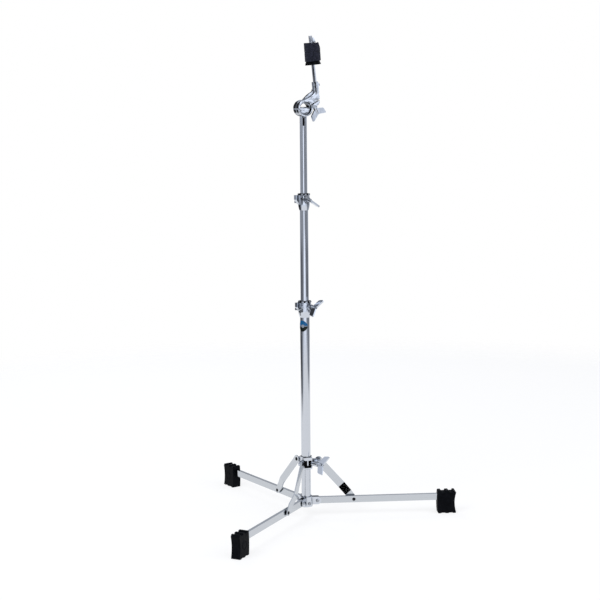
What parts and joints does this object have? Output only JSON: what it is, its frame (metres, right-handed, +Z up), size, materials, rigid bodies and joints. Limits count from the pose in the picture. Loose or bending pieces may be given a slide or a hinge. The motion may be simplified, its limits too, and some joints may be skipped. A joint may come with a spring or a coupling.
{
  "type": "straight cymbal stand",
  "caption": "Straight cymbal stand with a flat folding tripod base, telescoping pole and offset tilter.",
  "frame": {"origin": "centre of the bounding box's underside, on the floor under the feet", "axes": "+Z up the pole, +X along the foot that points to the picture's right, +Y away from the picture's viewer"},
  "size_m": [0.6274, 0.7244, 1.2935],
  "materials": {
    "chrome_tube": "mirror chrome plate on drawn steel tube",
    "chrome_casting": "chrome plate on a die casting",
    "chrome_sheet": "chrome plate on pressed sheet steel",
    "plated_steel": "bright plated steel",
    "black_nylon": "moulded nylon",
    "black_rubber": "moulded rubber",
    "grey_felt": "pressed wool felt",
    "printed_film": "printed film"
  },
  "bodies": {
    "base": {"lower_tube": "chrome_tube", "hub": "chrome_casting", "hub_screw": "plated_steel", "hub_pin_right": "plated_steel", "hub_pin_back": "plated_steel", "hub_pin_front": "plated_steel", "round_label": "printed_film"},
    "slide_collar": {"slide_collar": "chrome_casting", "slide_bushing": "black_nylon"},
    "leg_right": {"leg_right": "chrome_sheet", "foot_right": "black_rubber", "strut_pin_right": "plated_steel", "strut_washer_right": "black_nylon"},
    "leg_back": {"leg_back": "chrome_sheet", "foot_back": "black_rubber", "strut_pin_back": "plated_steel", "strut_washer_back": "black_nylon"},
    "leg_front": {"leg_front": "chrome_sheet", "foot_front": "black_rubber", "strut_pin_front": "plated_steel", "strut_washer_front": "black_nylon"},
    "strut_right": {"strut_right": "chrome_sheet", "lug_pin_right": "plated_steel"},
    "strut_back": {"strut_back": "chrome_sheet", "lug_pin_back": "plated_steel"},
    "strut_front": {"strut_front": "chrome_sheet", "lug_pin_front": "plated_steel"},
    "lower_collar": {"lower_collar": "chrome_casting", "lower_bushing": "black_nylon", "lower_pinch_screw": "plated_steel"},
    "middle": {"middle_tube": "chrome_tube"},
    "upper_collar": {"upper_collar": "chrome_casting", "upper_bushing": "black_nylon", "upper_pinch_screw": "plated_steel"},
    "upper": {"upper_tube": "chrome_tube", "tilter_head": "chrome_casting"},
    "arm": {"tilter_arm": "chrome_casting", "rod_screw": "plated_steel", "cymbal_rod": "chrome_tube", "seat_cup": "black_nylon", "rod_sleeve": "black_nylon", "lower_felt": "grey_felt", "upper_felt": "grey_felt"},
    "slide_wing_bolt": {"slide_wing_bolt": "chrome_casting"},
    "lower_wing_bolt": {"lower_wing_bolt": "chrome_casting"},
    "upper_wing_bolt": {"upper_wing_bolt": "chrome_casting"},
    "tilter_wing_bolt": {"tilter_wing_bolt": "chrome_casting"},
    "top_nut": {"top_nut": "chrome_casting"}
  },
  "joints": [
    {"name": "collar_slide", "type": "slide", "parent": "base", "child": "slide_collar", "axis": [0, 0, 1], "range_m": [0, 0.13504]},
    {"name": "leg_right_fold", "type": "hinge", "parent": "base", "child": "leg_right", "pos_m": [-0.06734, 0, 0.045], "axis": [0, -1, 0], "range_deg": [0, 85.2]},
    {"name": "strut_right_turn", "type": "hinge", "parent": "leg_right", "child": "strut_right", "pos_m": [0.03266, 0, 0.045], "axis": [0, -1, 0], "range_deg": [-124.8, 0]},
    {"name": "leg_back_fold", "type": "hinge", "parent": "base", "child": "leg_back", "pos_m": [-0.11234, 0.02598, 0.045], "axis": [0.866, 0.5, 0], "range_deg": [0, 85.2]},
    {"name": "strut_back_turn", "type": "hinge", "parent": "leg_back", "child": "strut_back", "pos_m": [-0.16234, 0.11258, 0.045], "axis": [0.866, 0.5, 0], "range_deg": [-124.8, 0]},
    {"name": "leg_front_fold", "type": "hinge", "parent": "base", "child": "leg_front", "pos_m": [-0.11234, -0.02598, 0.045], "axis": [-0.866, 0.5, 0], "range_deg": [0, 85.2]},
    {"name": "strut_front_turn", "type": "hinge", "parent": "leg_front", "child": "strut_front", "pos_m": [-0.16234, -0.11258, 0.045], "axis": [-0.866, 0.5, 0], "range_deg": [-124.8, 0]},
    {"name": "lower_collar_turn", "type": "hinge", "parent": "base", "child": "lower_collar", "pos_m": [-0.09734, 0, 0.58], "axis": [0, 0, 1], "continuous": true},
    {"name": "middle_tube_slide", "type": "slide", "parent": "lower_collar", "child": "middle", "axis": [0, 0, 1], "range_m": [-0.21, 0.1]},
    {"name": "upper_collar_turn", "type": "hinge", "parent": "middle", "child": "upper_collar", "pos_m": [-0.09734, 0, 0.867], "axis": [0, 0, 1], "continuous": true},
    {"name": "upper_tube_slide", "type": "slide", "parent": "upper_collar", "child": "upper", "axis": [0, 0, 1], "range_m": [-0.17, 0.1]},
    {"name": "tilter_tilt", "type": "hinge", "parent": "upper", "child": "arm", "pos_m": [-0.09734, 0, 1.106], "axis": [0.3527, -0.9358, 0], "range_deg": [-10, 110]},
    {"name": "slide_wing_bolt_turn", "type": "hinge", "parent": "slide_collar", "child": "slide_wing_bolt", "pos_m": [-0.06854, -0.0263, 0.151], "axis": [0.7385, -0.6743, 0], "continuous": true},
    {"name": "lower_wing_bolt_turn", "type": "hinge", "parent": "lower_collar", "child": "lower_wing_bolt", "pos_m": [-0.08108, -0.02279, 0.58], "axis": [0.5807, -0.8141, 0], "continuous": true},
    {"name": "upper_wing_bolt_turn", "type": "hinge", "parent": "upper_collar", "child": "upper_wing_bolt", "pos_m": [-0.08866, -0.02451, 0.867], "axis": [0.3338, -0.9426, 0], "continuous": true},
    {"name": "tilter_wing_bolt_turn", "type": "hinge", "parent": "arm", "child": "tilter_wing_bolt", "pos_m": [-0.07168, -0.00048, 1.11868], "axis": [0.4393, 0.1656, -0.8829], "continuous": true},
    {"name": "top_nut_turn", "type": "hinge", "parent": "arm", "child": "top_nut", "pos_m": [-0.05918, 0.00423, 1.106], "axis": [-0.0978, -0.0369, 0.9945], "continuous": true}
  ],
  "couplings": [
    {"joint": "leg_right_fold", "follows": "collar_slide", "rad_per_m": 10.986},
    {"joint": "strut_right_turn", "follows": "collar_slide", "rad_per_m": -16.087},
    {"joint": "leg_back_fold", "follows": "collar_slide", "rad_per_m": 10.986},
    {"joint": "strut_back_turn", "follows": "collar_slide", "rad_per_m": -16.087},
    {"joint": "leg_front_fold", "follows": "collar_slide", "rad_per_m": 10.986},
    {"joint": "strut_front_turn", "follows": "collar_slide", "rad_per_m": -16.087}
  ]
}
